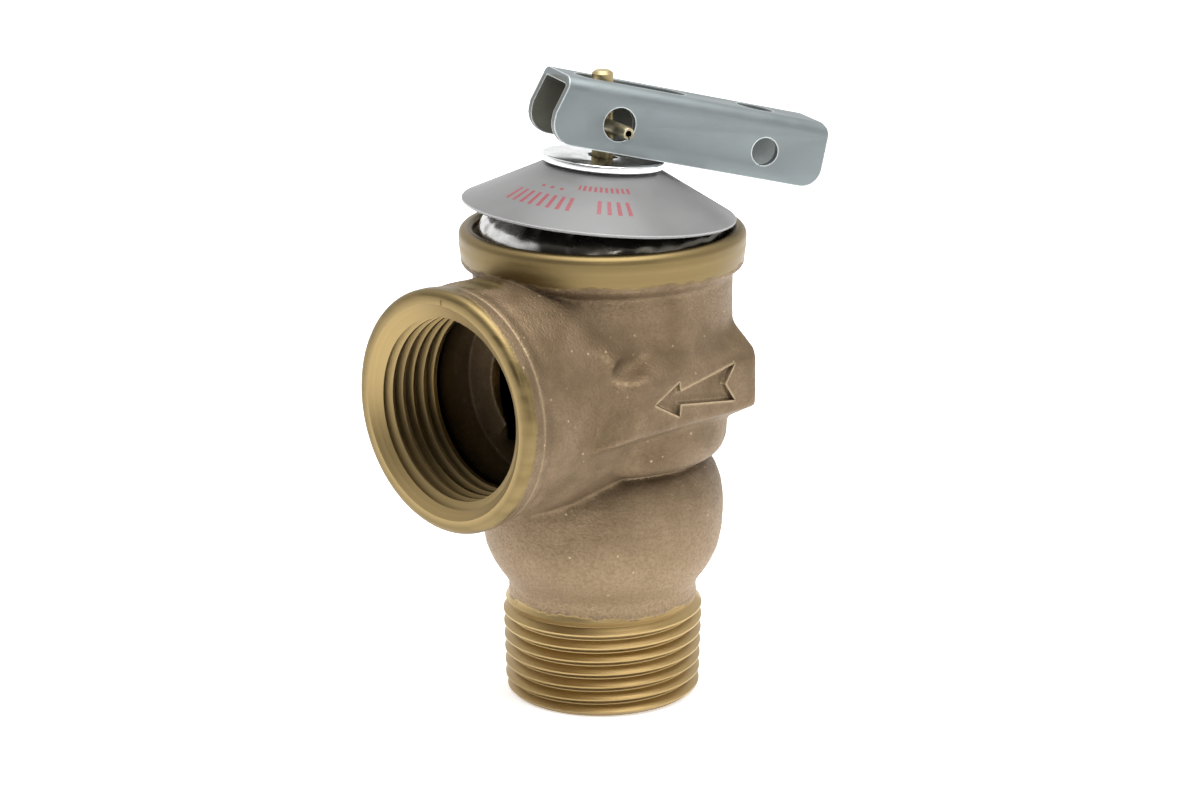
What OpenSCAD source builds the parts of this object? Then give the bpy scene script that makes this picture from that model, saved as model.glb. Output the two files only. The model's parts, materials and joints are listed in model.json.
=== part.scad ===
// Hot-water pressure relief valve, 3/4 inch, angle pattern.
// Origin at the centre of the inlet's end face, +Z up the valve's axis, outlet towards -Y.
// Pipe water comes up the inlet, lifts a rubber-faced disc off its seat against a conical
// spring, and leaves through the side outlet. A lever lifts the same disc by hand.

/* [Body casting] */
// Radius of the drum that holds the discharge chamber
drum_r = 17.1; // [16.6:0.1:17.3]
// Largest radius of the lower bulb
bulb_r = 16.0; // [15.2:0.1:16.8]
// Radius of the waist between bulb and drum
waist_r = 14.05; // [13.6:0.05:14.8]
// Radius of the plain neck over the inlet thread
neck_r = 12.7; // [12.2:0.1:13.4]
// Outer radius of the rolled rim
rim_r = 18.85; // [18.6:0.05:19.2]
// Height of the rim's top
rim_top = 64.0; // [63.8:0.1:64.2]
// Distance of each wrench flat from the axis
flat_x = 19.05; // [18.6:0.05:19.6]

/* [Inlet] */
// Crest radius of the tapered male thread at the end face
inlet_crest_r = 13.02; // [12.9:0.01:13.1]
// Length of the male thread
inlet_thread_len = 14.6; // [12:0.1:15]
// Radius of the inlet bore
inlet_bore_r = 9.5; // [8.5:0.1:10]

/* [Outlet] */
// Height of the outlet's axis
outlet_z = 44.2; // [44:0.1:44.6]
// Distance of the outlet's face from the valve's axis
outlet_face = 29.0; // [28:0.1:30]
// Outer radius of the outlet boss
outlet_r = 15.9; // [15.4:0.1:16.1]
// Tap-drill radius of the female thread
outlet_bore_r = 11.9; // [11.7:0.05:12]
// Major radius of the female thread at the face
outlet_major_r = 13.28; // [13.1:0.01:13.3]

/* [Seat and disc] */
// Height of the seat's lip
seat_z = 39.5; // [39:0.1:40]
// Radius of the seat's opening
seat_r = 8.0; // [7:0.1:8.4]
// Thickness of the rubber seat disc
disc_t = 2.5; // [2:0.1:3]

/* [Diaphragm and bonnet] */
// Height of the ledge that carries the diaphragm
ledge_z = 59.6; // [59.4:0.05:59.6]
// Thickness of the diaphragm
diaphragm_t = 1.0; // [0.8:0.1:1]
// Outer radius of the bonnet's wall
bonnet_r = 16.3; // [16:0.1:16.4]
// Sheet thickness of the bonnet
bonnet_t = 1.2; // [1:0.1:1.2]
// Height of the bonnet's flat top
bonnet_top = 70.1; // [70:0.1:70.2]

/* [Spring] */
// Wire diameter of the conical spring
wire_d = 1.3; // [1:0.1:1.4]
// Mean radius of the spring's bottom coil
spring_r_bottom = 9.4; // [9:0.1:9.5]
// Mean radius of the spring's top coil
spring_r_top = 5.6; // [5.5:0.1:5.8]
// Number of turns
spring_turns = 2.75; // [2:0.25:3]

/* [Nameplate and washer] */
// Radius of the nameplate's rim
plate_r = 18.0; // [17:0.1:18.2]
// Height of the nameplate's rim before it tips
plate_rim_z = 66.3; // [66.1:0.1:66.6]
// Height of the nameplate's flat top before it tips
plate_top_z = 72.05; // [71.9:0.01:72.06]
// How far the nameplate and washer tip towards the lever's handle
plate_tip = 5.2; // [0:0.1:5.4]
// Radius of the plated washer
washer_r = 8.0; // [7:0.1:8.2]
// Thickness of the washer
washer_t = 1.0; // [0.8:0.1:1]

/* [Stem and pin] */
// Radius of the stem
stem_r = 1.4; // [1.3:0.1:1.5]
// Height of the stem's top
stem_top = 84.3; // [83.8:0.1:84.6]
// Outer radius of the rolled pin
pin_r = 0.9; // [0.7:0.1:1]
// How far the pin has turned from square to the lever
pin_turn = 6; // [0:1:6]

/* [Lever] */
// Direction of the handle, measured from +X towards +Y
lever_az = 65.7; // [0:0.1:360]
// How far the handle hangs below level
lever_droop = 13.7; // [13:0.1:14]
// Height of the lever's pivot hole
pivot_z = 78.0; // [77.9:0.05:78.4]
// Distance of the pivot hole from the stem's axis, towards the handle
pivot_u = 0.5; // [0.3:0.1:0.6]
// Width over the two flanges
lever_w = 9.75; // [9.5:0.05:10]
// Sheet thickness of the lever
lever_t = 1.1; // [1:0.1:1.2]
// Height of the web's outer face over the pivot hole
lever_up = 4.9; // [4.6:0.1:5]
// Depth of the flanges' lower edge under the pivot hole
lever_down = 3.8; // [3.6:0.1:3.8]
// Distance from the pivot hole to the handle's end
lever_reach = 29.7; // [26:0.1:32]
// Radius of the pivot hole
pivot_hole_r = 2.2; // [2.2:0.05:2.4]

/* [Hidden] */
$fn = 64;

pitch = 25.4 / 14;           // fourteen threads to the inch
thread_depth = 0.72 * pitch;
pipe_taper = 1 / 32;         // change of radius along a tapered pipe thread
play = 0.05;                 // radial clearance of a running fit
seam_turn = 7;               // turns the start of each round face away from the flat faces' planes
chamber_r = 13.8;            // discharge chamber
chamber_floor = 36.5;
counterbore_r = 17.6;        // recess for the diaphragm stack
lip_r = 16.95;               // mouth of the rolled lip over the bonnet's flange
ring_t = 0.6;                // clamp ring
flange_z = ledge_z + diaphragm_t + ring_t;
flange_t = 1.2;
plate_z = ledge_z + diaphragm_t;   // upper face of the diaphragm
spring_foot_z = plate_z + 0.8;
spring_head_z = 68.3;
holder_bore_r = 3.0;
spigot_r = 3.5;
rock_z = 71.6;               // height about which nameplate and washer tip
pin_z = pivot_z - 0.75;
brass = "#b39a6b";
bronze = "#8f7a60";
steel = "#b8bcbf";

// Crest radius of the male thread, and major radius of the female thread, along their length
function male_crest(z) = inlet_crest_r + z * pipe_taper;
function female_major(depth) = outlet_major_r - depth * pipe_taper;

// Points of an arc, from one angle to another
function arc(cx, cy, r, from, to, steps = 10) =
    [for (i = [0 : steps]) let (a = from + (to - from) * i / steps) [cx + r * cos(a), cy + r * sin(a)]];

// ---- body casting ----

// One ridge of the male thread, as points from its lower root to its upper root
function male_ridge(z) = [
    [male_crest(z) - thread_depth, z - 0.45 * pitch],
    [male_crest(z), z - 0.07 * pitch],
    [male_crest(z), z + 0.07 * pitch],
    [male_crest(z) - thread_depth, z + 0.45 * pitch]];

module inlet_thread_profile() {
    ridges = floor(inlet_thread_len / pitch);
    first = inlet_thread_len - (ridges - 0.5) * pitch;
    polygon(concat(
        [[0, 0], [inlet_crest_r - thread_depth + 0.4, 0], [male_crest(1) - thread_depth, 0.5]],
        [for (i = [0 : ridges - 1]) each male_ridge(first + i * pitch)],
        [[neck_r, inlet_thread_len + 0.2], [0, inlet_thread_len + 0.2]]));
}

module bulb_profile() {
    round_r = 7.1;
    square([bulb_r - 0.05, 3]);
    translate([bulb_r - round_r, 0]) circle(round_r);
    translate([bulb_r - round_r, 3]) circle(round_r);
}

module rim_profile() {
    crown_r = 1.2;
    polygon(concat(
        [[0, 57.8], [drum_r, 57.8]],
        arc(drum_r + 0.9, 57.8, 0.9, 180, 120, 4),
        [[rim_r - 0.45, 59.3], [rim_r - 0.25, 60.2]],
        [[rim_r, 61.8]],
        arc(rim_r - crown_r, rim_top - crown_r, crown_r, 0, 90, 6),
        [[0, rim_top]]));
}

module body_profile() {
    inlet_thread_profile();
    translate([0, inlet_thread_len]) square([neck_r, 6]);
    translate([0, 23.6]) bulb_profile();
    translate([0, 28]) square([waist_r, 10]);
    corner_r = 3.1;
    translate([16.4 - corner_r, 36.6]) circle(corner_r);
    polygon([[0, 33.5], [16.4 - corner_r, 33.5], [16.4, 36.6], [drum_r, 44], [drum_r, 58], [0, 58]]);
    rim_profile();
}

module outlet_boss() {
    edge_r = 1.0;
    translate([0, 0, outlet_z]) rotate([90, 0, 0]) rotate([0, 0, seam_turn]) rotate_extrude()
        polygon(concat(
            [[0, 6], [outlet_r - 0.3, 6], [outlet_r - 0.3, outlet_face - 5.2], [outlet_r, outlet_face - 4.6]],
            arc(outlet_r - edge_r, outlet_face - edge_r, edge_r, 0, 90, 6),
            [[0, outlet_face]]));
}

// Wrench flats on both sides: a flat face with sloping top, bottom and back
module wrench_pads() {
    profile = [[8, 35.8], [flat_x, 41.3], [flat_x, 48.2], [13.6, 52.3], [8, 53]];
    plan = [[8, -16], [flat_x, -16], [flat_x, 9.2], [17.9, 10.4], [8, 10.4]];
    for (side = [0, 1]) mirror([side, 0, 0]) intersection() {
        translate([0, 20, 0]) rotate([90, 0, 0]) linear_extrude(40) polygon(profile);
        linear_extrude(60) polygon(plan);
    }
}

// Sunk arrow on each wrench flat that shows the way the water leaves
module flow_arrows() {
    sunk = 0.7;
    arrow = [[5.1, 47.7], [3.2, 45.3], [5.1, 42.8], [-5.1, 44.3], [-5.3, 42.7], [-9.7, 45.1],
        [-5.3, 47.2], [-5.1, 46.0]];
    for (side = [0, 1]) mirror([side, 0, 0])
        translate([flat_x - sunk, 0, 0]) rotate([90, 0, 90]) linear_extrude(2) polygon(arrow);
}

module waterways() {
    // inlet bore, narrowing to the seat
    translate([0, 0, -1]) cylinder(r = inlet_bore_r, h = 29);
    translate([0, 0, 27.99]) cylinder(r1 = inlet_bore_r, r2 = seat_r, h = 2);
    cylinder(r = seat_r, h = seat_z + 1);
    // discharge chamber round the upstanding seat
    difference() {
        translate([0, 0, chamber_floor]) cylinder(r = chamber_r, h = 30);
        translate([0, 0, chamber_floor - 1])
            cylinder(r1 = seat_r + 2.6, r2 = seat_r + 0.9, h = seat_z - chamber_floor + 1);
    }
    // recess for the diaphragm stack, and the lip rolled in over it
    translate([0, 0, ledge_z]) cylinder(r = counterbore_r, h = flange_z + flange_t + play - ledge_z);
    translate([0, 0, ledge_z]) cylinder(r = lip_r, h = 10);
    translate([0, 0, rim_top - 0.7]) cylinder(r1 = lip_r, r2 = lip_r + 0.75, h = 0.71);
}

module outlet_hole() {
    groove_half = 0.38 * pitch;
    translate([0, 0, outlet_z]) rotate([90, 0, 0]) rotate([0, 0, seam_turn]) {
        // tap-drill bore, then a smaller port into the chamber
        translate([0, 0, 13]) cylinder(r = outlet_bore_r, h = 20);
        translate([0, 0, 6]) cylinder(r = 7.6, h = 8);
        translate([0, 0, outlet_face - 1.6]) cylinder(r1 = outlet_bore_r, r2 = 13.9, h = 1.61);
        // thread form as rings cut outwards from the bore
        rotate_extrude() for (i = [1 : 7]) let (depth = i * pitch, s = outlet_face - depth - 0.4)
            polygon([[outlet_bore_r - 0.5, s - groove_half - 0.25],
                [female_major(depth), s - 0.1], [female_major(depth), s + 0.1],
                [outlet_bore_r - 0.5, s + groove_half + 0.25]]);
    }
}

module valve_body() {
    color(bronze) difference() {
        union() {
            rotate([0, 0, seam_turn]) rotate_extrude() body_profile();
            outlet_boss();
            wrench_pads();
        }
        rotate([0, 0, seam_turn]) waterways();
        outlet_hole();
        flow_arrows();
    }
}

// ---- diaphragm stack and bonnet ----

module flat_ring(outer_r, inner_r, z, t) {
    translate([0, 0, z]) difference() {
        cylinder(r = outer_r, h = t);
        translate([0, 0, -1]) cylinder(r = inner_r, h = t + 2);
    }
}

module diaphragm() {
    color("#2e2b28") flat_ring(17.4, spigot_r + play, ledge_z, diaphragm_t);
}

module clamp_ring() {
    color(steel) flat_ring(17.5, 14.6, plate_z, ring_t);
}

// Half-section of the bonnet: flange, wall, rounded shoulder, sloping roof, flat top
module spring_bonnet() {
    shoulder_r = 3;
    shoulder_z = 63.0;
    roof_r = 7.0;
    slope = 30;
    roof_drop = bonnet_t / cos(slope);
    inner_roof_r = roof_r - bonnet_t * tan(slope / 2);
    hole_r = 3.45;
    color("#c9ccce") rotate_extrude() polygon(concat(
        [[bonnet_r - bonnet_t, flange_z], [17.5, flange_z], [17.5, flange_z + flange_t],
            [bonnet_r, flange_z + flange_t]],
        arc(bonnet_r - shoulder_r, shoulder_z, shoulder_r, 0, 90 - slope, 8),
        [[roof_r, bonnet_top], [hole_r, bonnet_top], [hole_r, bonnet_top - bonnet_t],
            [inner_roof_r, bonnet_top - bonnet_t]],
        arc(bonnet_r - shoulder_r, shoulder_z, shoulder_r - bonnet_t, 90 - slope, 0, 6)));
}

// Conical spring: a round wire swept along a helix whose radius shrinks as it climbs
module main_spring() {
    sides = 8;
    steps_per_turn = 24;
    steps = floor(spring_turns * steps_per_turn);
    low = spring_foot_z + wire_d / 2 + 0.02;
    high = spring_head_z - wire_d / 2 - 0.02;
    points = [for (i = [0 : steps], j = [0 : sides - 1])
        let (t = i / steps, turn = 360 * i / steps_per_turn, side = 360 * j / sides,
            r = spring_r_bottom + (spring_r_top - spring_r_bottom) * t + wire_d / 2 * cos(side),
            z = low + (high - low) * (t - sin(360 * t) / 16) + wire_d / 2 * sin(side))
        [r * cos(turn), r * sin(turn), z]];
    skin = [for (i = [0 : steps - 1], j = [0 : sides - 1])
        let (a = i * sides + j, b = i * sides + (j + 1) % sides) [a, a + sides, b + sides, b]];
    foot = [[for (j = [0 : sides - 1]) j]];
    head = [[for (j = [sides - 1 : -1 : 0]) steps * sides + j]];
    color("#8d8f90") polyhedron(points, concat(skin, foot, head));
}

module upper_spring_seat() {
    color(steel) flat_ring(6.6, 4.9, spring_head_z, bonnet_top - bonnet_t - spring_head_z - play);
}

// ---- disc carrier ----

module disc_holder() {
    skirt_z = seat_z + 1.1;
    recess_top = seat_z + disc_t + 0.1;
    shoulder_z = ledge_z - 1;
    color(brass) rotate_extrude() polygon([
        [9.9, skirt_z], [11, skirt_z], [11, 45], [6, 46.5], [6, shoulder_z], [spigot_r, shoulder_z],
        [spigot_r, 63.3], [stem_r + play, 63.3], [stem_r + play, 50], [holder_bore_r, 50],
        [holder_bore_r, recess_top], [9.9, recess_top]]);
}

module seat_disc() {
    color("#26231f") flat_ring(9.8, holder_bore_r + play, seat_z + play, disc_t);
}

module disc_washer() {
    color(brass) flat_ring(5.5, holder_bore_r + play, seat_z - 0.95, 0.95);
}

module disc_screw() {
    head_t = 2.2;
    color(brass) {
        translate([0, 0, seat_z - 1]) cylinder(r = holder_bore_r - play, h = 7.5);
        translate([0, 0, seat_z - 1 - head_t]) cylinder(r = 4.4, h = head_t, $fn = 6);
    }
}

module diaphragm_washer() {
    color(brass) flat_ring(8.5, spigot_r + play, ledge_z - 1, 1);
}

module spring_plate() {
    lip_t = 0.65;
    color(steel) {
        flat_ring(10.9, spigot_r + play, plate_z, 0.8);
        flat_ring(10.9, 10.9 - lip_t, plate_z + 0.4, 1.2);
    }
}

module plate_nut() {
    color(brass) translate([0, 0, spring_foot_z]) difference() {
        cylinder(r = 5.2, h = 1.8, $fn = 6);
        translate([0, 0, -1]) cylinder(r = spigot_r + play, h = 4);
    }
}

// ---- stem, bush and pin ----

module stem_bush() {
    barrel_r = 3.4;
    groove_z = 68.05;
    color(brass) rotate_extrude() polygon([
        [stem_r + play, 67.5], [barrel_r, 67.5], [barrel_r, groove_z], [2.9, groove_z], [2.9, groove_z + 0.7],
        [barrel_r, groove_z + 0.7], [barrel_r, bonnet_top + play], [4.2, bonnet_top + play],
        [4.2, bonnet_top + 0.85], [stem_r + play, bonnet_top + 0.85]]);
}

module bush_clip() {
    color(steel) flat_ring(4.5, 2.95, 68.1, 0.6);
}

// Spring pin: a rolled tube through the stem and both flanges
module along_pin() {
    translate([0, 0, pin_z]) rotate([0, 0, lever_az - 90 + pin_turn]) rotate([0, 90, 0]) children();
}

module stem() {
    groove_z = 49.15;
    color("#9b8654") difference() {
        rotate_extrude() polygon([[0, 48.4], [1.2, 48.4], [stem_r, 48.7], [stem_r, groove_z], [1.1, groove_z],
            [1.1, groove_z + 0.7], [stem_r, groove_z + 0.7], [stem_r, stem_top - 0.35],
            [stem_r - 0.4, stem_top], [0, stem_top]]);
        along_pin() translate([0, 0, -3]) cylinder(r = pin_r + 0.02, h = 6);
    }
}

module stem_clip() {
    color(steel) flat_ring(2.7, 1.15, 49.2, 0.6);
}

module lever_pin() {
    near = 7.4;
    far = 6.2;
    color("#77786a") along_pin() translate([0, 0, -far]) difference() {
        cylinder(r = pin_r, h = near + far);
        translate([0, 0, -1]) cylinder(r = pin_r / 2, h = near + far + 2);
    }
}

// ---- lever ----

// The lever's own frame: pivot hole at its origin, x along the handle, z square to the web
module lever_frame() {
    rotate([0, 0, lever_az]) translate([pivot_u, 0, pivot_z]) rotate([0, lever_droop, 0]) children();
}

// Side view: straight top, round cam nose at the left, rounded handle end at the right
module lever_side() {
    nose_r = 2.95;
    end_r = 2.7;
    end_x = lever_reach - end_r;
    polygon([[-7.95, lever_up], [-8.0, 3.6], [-8.95, 0], [-8.7, -1], [-6, -1], [-6, -lever_down],
        [end_x, -lever_down], [end_x + 1, end_r - lever_down], [lever_reach, end_r - lever_down],
        [lever_reach - 0.5, 3.5], [lever_reach - 0.9, 4.4], [lever_reach - 1.5, lever_up]]);
    translate([-6, nose_r - lever_down]) circle(nose_r);
    translate([end_x, end_r - lever_down]) circle(end_r);
}

// Cross-section: an upturned U with bent corners
module channel_section() {
    bend_r = 1.6;
    inner_w = lever_w - 2 * lever_t;
    difference() {
        union() {
            translate([-lever_w / 2, -10]) square([lever_w, 10 + lever_up - bend_r]);
            translate([bend_r - lever_w / 2, 0]) square([lever_w - 2 * bend_r, lever_up]);
            for (side = [-1, 1]) translate([side * (lever_w / 2 - bend_r), lever_up - bend_r]) circle(bend_r);
        }
        translate([-inner_w / 2, -11]) square([inner_w, 11 + lever_up - lever_t - 0.5]);
        translate([0.5 - inner_w / 2, 0]) square([inner_w - 1, lever_up - lever_t]);
        for (side = [-1, 1])
            translate([side * (inner_w / 2 - 0.5), lever_up - lever_t - 0.5]) circle(0.5);
    }
}

module stem_slot() {
    slot_w = 4.2;
    from = -3.4;
    to = 8.0;
    for (x = [from, to]) translate([x, 0, 0]) cylinder(r = slot_w / 2, h = 10);
    translate([from, -slot_w / 2, 0]) cube([to - from, slot_w, 10]);
}

module lever() {
    color("#a9b3b6") lever_frame() difference() {
        intersection() {
            rotate([90, 0, 0]) linear_extrude(lever_w + 2, center = true) lever_side();
            translate([-12, 0, 0]) rotate([90, 0, 90]) linear_extrude(50) channel_section();
        }
        rotate([90, 0, 0]) cylinder(r = pivot_hole_r, h = 20, center = true);
        translate([21, 0, -0.1]) rotate([90, 0, 0]) cylinder(r = 1.85, h = 20, center = true);
        translate([20.4, 0, 0]) cylinder(r = 2.5, h = 10);
        stem_slot();
    }
}

// ---- nameplate and washer, tipped together towards the handle ----

module tipped() {
    rotate([0, 0, lever_az]) translate([0, 0, rock_z]) rotate([0, plate_tip, 0])
        translate([0, 0, -rock_z]) children();
}

module nameplate() {
    sheet = 0.5;
    top_r = 7;
    slope = atan2(plate_top_z - plate_rim_z, plate_r - top_r);
    inset = sheet * tan(slope / 2);
    color("#9a9a9a") tipped() rotate_extrude() polygon([
        [2.2, plate_top_z], [top_r, plate_top_z], [plate_r, plate_rim_z],
        [plate_r - sheet * sin(slope), plate_rim_z - sheet * cos(slope)],
        [top_r - inset, plate_top_z - sheet], [2.2, plate_top_z - sheet]]);
}

module lever_washer() {
    color("#c4c7c9") tipped() flat_ring(washer_r, 1.95, plate_top_z + 0.02, washer_t);
}

valve_body();
spring_bonnet();
clamp_ring();
diaphragm();
main_spring();
upper_spring_seat();
disc_holder();
seat_disc();
disc_washer();
disc_screw();
diaphragm_washer();
spring_plate();
plate_nut();
stem_bush();
bush_clip();
stem();
stem_clip();
lever_pin();
lever();
nameplate();
lever_washer();
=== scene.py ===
import json
import math

import bmesh
import bpy
from mathutils import Matrix, Vector, noise


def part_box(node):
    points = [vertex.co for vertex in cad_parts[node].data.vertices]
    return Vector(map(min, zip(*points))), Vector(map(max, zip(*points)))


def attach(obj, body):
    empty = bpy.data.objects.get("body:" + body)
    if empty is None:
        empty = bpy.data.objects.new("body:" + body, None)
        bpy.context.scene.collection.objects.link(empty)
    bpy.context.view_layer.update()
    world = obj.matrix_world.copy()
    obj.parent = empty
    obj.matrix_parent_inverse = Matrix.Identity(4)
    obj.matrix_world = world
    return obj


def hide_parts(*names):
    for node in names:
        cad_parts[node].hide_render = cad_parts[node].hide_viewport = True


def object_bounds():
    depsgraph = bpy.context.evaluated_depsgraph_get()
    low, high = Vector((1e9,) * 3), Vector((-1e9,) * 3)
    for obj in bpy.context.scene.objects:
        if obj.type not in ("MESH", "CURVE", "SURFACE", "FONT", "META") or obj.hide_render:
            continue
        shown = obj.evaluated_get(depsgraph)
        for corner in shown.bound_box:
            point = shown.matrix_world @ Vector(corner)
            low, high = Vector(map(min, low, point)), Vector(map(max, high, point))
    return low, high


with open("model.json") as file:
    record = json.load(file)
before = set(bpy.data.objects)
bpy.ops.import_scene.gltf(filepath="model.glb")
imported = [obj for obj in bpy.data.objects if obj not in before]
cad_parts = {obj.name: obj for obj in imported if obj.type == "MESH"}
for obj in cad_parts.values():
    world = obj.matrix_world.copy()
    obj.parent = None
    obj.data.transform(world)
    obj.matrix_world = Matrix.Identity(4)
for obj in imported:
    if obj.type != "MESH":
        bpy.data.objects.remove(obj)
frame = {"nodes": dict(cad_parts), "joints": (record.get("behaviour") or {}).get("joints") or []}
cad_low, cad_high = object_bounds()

# The body is one bronze casting, poured in sand and tumbled, so its skin is grainy and its corners
# are soft. The rim, the outlet and the inlet are then turned on a lathe, and the threads are cut.
# It is modelled in that order, in millimetres: pattern, soft corners, turned faces, threads.
METRE = 0.001                      # one millimetre of the pattern in the scene's metres
full_turn = math.tau
body_low, body_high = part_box("valve_body")
rim_top = body_high.z / METRE
flat_x = body_high.x / METRE       # wrench flats
outlet_face = -body_low.y / METRE
outlet_z = 44.2
outlet_r = 15.9
ledge_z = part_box("diaphragm")[0].z / METRE
seat_z = 39.5
thread_pitch = 25.4 / 14
pipe_taper = 1 / 32


def arc(centre_r, centre_z, radius, start, end, steps=8):
    """Points of an arc in an outline, with its angles in degrees."""
    turns = [math.radians(start + (end - start) * i / steps) for i in range(steps + 1)]
    return [(centre_r + radius * math.cos(t), centre_z + radius * math.sin(t)) for t in turns]


def turned(outline, segments=160):
    """A solid turned about Z from its half outline of (radius, height) points."""
    bm = bmesh.new()
    verts = [bm.verts.new((r, 0, z)) for r, z in outline]
    edges = [bm.edges.new(pair) for pair in zip(verts, verts[1:] + verts[:1])]
    bmesh.ops.spin(bm, geom=verts + edges, axis=(0, 0, 1), cent=(0, 0, 0), angle=full_turn,
                   steps=segments, use_merge=True)
    bmesh.ops.remove_doubles(bm, verts=bm.verts, dist=1e-4)
    bmesh.ops.recalc_face_normals(bm, faces=bm.faces)
    return bm


def sawn(bm, point, normal):
    """Cuts off what lies beyond a plane and closes the cut."""
    everything = bm.verts[:] + bm.edges[:] + bm.faces[:]
    cut = bmesh.ops.bisect_plane(bm, geom=everything, plane_co=point, plane_no=normal, clear_outer=True)
    rim = [e for e in cut["geom_cut"] if isinstance(e, bmesh.types.BMEdge)]
    bmesh.ops.edgenet_fill(bm, edges=rim)
    bmesh.ops.recalc_face_normals(bm, faces=bm.faces)


def block(low, high):
    """A rectangular block between two corners."""
    bm = bmesh.new()
    bmesh.ops.create_cube(bm, size=1)
    bmesh.ops.scale(bm, verts=bm.verts, vec=Vector(high) - Vector(low))
    bmesh.ops.translate(bm, verts=bm.verts, vec=(Vector(low) + Vector(high)) / 2)
    return bm


def screw_thread(root_r, crest_r, length, taper, segments=128):
    """A right-hand thread: one lathe-tool outline swept up a helix, sawn to length and tapered."""
    bm = bmesh.new()
    ridge = ((root_r, -0.46), (crest_r, -0.06), (crest_r, 0.06), (root_r, 0.46))
    ridges = math.ceil(length / thread_pitch) + 3
    line = [bm.verts.new((r, 0, (i - 1.5 + at) * thread_pitch)) for i in range(ridges) for r, at in ridge]
    edges = [bm.edges.new(pair) for pair in zip(line, line[1:])]
    bmesh.ops.spin(bm, geom=line + edges, axis=(0, 0, 1), cent=(0, 0, 0), angle=full_turn,
                   dvec=(0, 0, thread_pitch / segments), steps=segments)
    bmesh.ops.remove_doubles(bm, verts=bm.verts, dist=1e-3)
    sawn(bm, (0, 0, 0), (0, 0, -1))
    sawn(bm, (0, 0, length), (0, 0, 1))
    for v in bm.verts:
        r = math.hypot(v.co.x, v.co.y)
        v.co.xy *= (r + taper * v.co.z) / r
    return bm


def towards_outlet(bm):
    """Lays a shape turned about Z along the outlet's axis, pointing out of the outlet."""
    bmesh.ops.rotate(bm, verts=bm.verts, cent=(0, 0, 0), matrix=Matrix.Rotation(math.pi / 2, 3, "X"))
    bmesh.ops.translate(bm, verts=bm.verts, vec=(0, 0, outlet_z))
    return bm


def shaped(bm, name="blank"):
    """An object that holds a shape while it is worked on."""
    mesh = bpy.data.meshes.new(name)
    bm.to_mesh(mesh)
    bm.free()
    made = bpy.data.objects.new(name, mesh)
    bpy.context.scene.collection.objects.link(made)
    return made


def worked(blank, kind, **settings):
    """Applies one modifier to an object's mesh."""
    modifier = blank.modifiers.new(kind, kind)
    for setting, value in settings.items():
        setattr(modifier, setting, value)
    seen = blank.evaluated_get(bpy.context.evaluated_depsgraph_get())
    blank.data = bpy.data.meshes.new_from_object(seen)
    blank.modifiers.clear()


def combined(blank, operation, *tools):
    """Joins, cuts or keeps what an object shares with each of the tools, which are used up."""
    for tool in tools:
        other = shaped(tool, "tool")
        worked(blank, "BOOLEAN", operation=operation, object=other, solver="MANIFOLD")
        bpy.data.objects.remove(other)


def finished(blank, name, body, slot, *materials, sharp=30, stands_for=()):
    """Brings a worked shape to metres and makes it a piece of the valve."""
    bm = bmesh.new()
    bm.from_mesh(blank.data)
    bmesh.ops.scale(bm, verts=bm.verts, vec=(METRE,) * 3)
    for f in bm.faces:
        f.smooth = True
    for e in bm.edges:
        e.smooth = e.is_manifold and e.calc_face_angle(0) < math.radians(sharp)
    bm.to_mesh(blank.data)
    bm.free()
    blank.name = blank.data.name = name
    blank.data.materials.clear()
    for material in materials:
        blank.data.materials.append(material)
    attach(blank, body)
    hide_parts(*stands_for)
    return blank


# Pattern of the casting, before it is machined
casting = shaped(turned([
    (0, 12.8), (12.2, 12.8), (12.55, 13.4), (12.6, 15.4), (13.2, 16.4), (13.9, 17.3), (14.7, 18.6),
    (15.6, 20.6), (16.0, 22.8), (16.1, 25.3), (16.05, 27.6), (15.75, 29.5), (15.1, 31.3), (14.1, 32.6),
    (13.2, 33.1),
    (13.2, 33.4), (15.2, 33.8), (16.0, 34.6), (16.45, 35.8), (16.65, 38.5), (17.1, 44), (17.1, 59.4),
    (0, 59.4)]))
boss = towards_outlet(turned([
    (0, 0), (15.55, 0), (15.75, outlet_face - 5), (15.85, outlet_face - 2.5), (0, outlet_face - 2.5)]))
combined(casting, "UNION", boss)
crease = towards_outlet(turned([
    (14.9, outlet_face - 4.7), (16.8, outlet_face - 5.9), (16.8, outlet_face - 3.5)]))
combined(casting, "DIFFERENCE", crease)
for side in (1, -1):
    pad = block((6, -19, 34), (flat_x, 10.4, 54))
    sawn(pad, (flat_x, 0, 41.3), (5.5, 0, -11.05))
    sawn(pad, (flat_x, 0, 48.2), (4.1, 0, 5.45))
    sawn(pad, (flat_x, 9.2, 44), (1, 1, 0))
    sawn(pad, (flat_x, -13.2, 44), (0.8, -1, 0.25))
    if side < 0:
        bmesh.ops.scale(pad, verts=pad.verts, vec=(-1, 1, 1))
        bmesh.ops.reverse_faces(pad, faces=pad.faces)
    combined(casting, "UNION", pad)
    hollow = bmesh.new()
    bmesh.ops.create_icosphere(hollow, subdivisions=3, radius=1)
    bmesh.ops.scale(hollow, verts=hollow.verts, vec=(2.6, 5.0, 1.5))
    bmesh.ops.rotate(hollow, verts=hollow.verts, cent=(0, 0, 0), matrix=Matrix.Rotation(0.35, 3, "X"))
    bmesh.ops.translate(hollow, verts=hollow.verts, vec=(side * 17.0, -10.4, 50.6))
    combined(casting, "DIFFERENCE", hollow)

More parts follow.
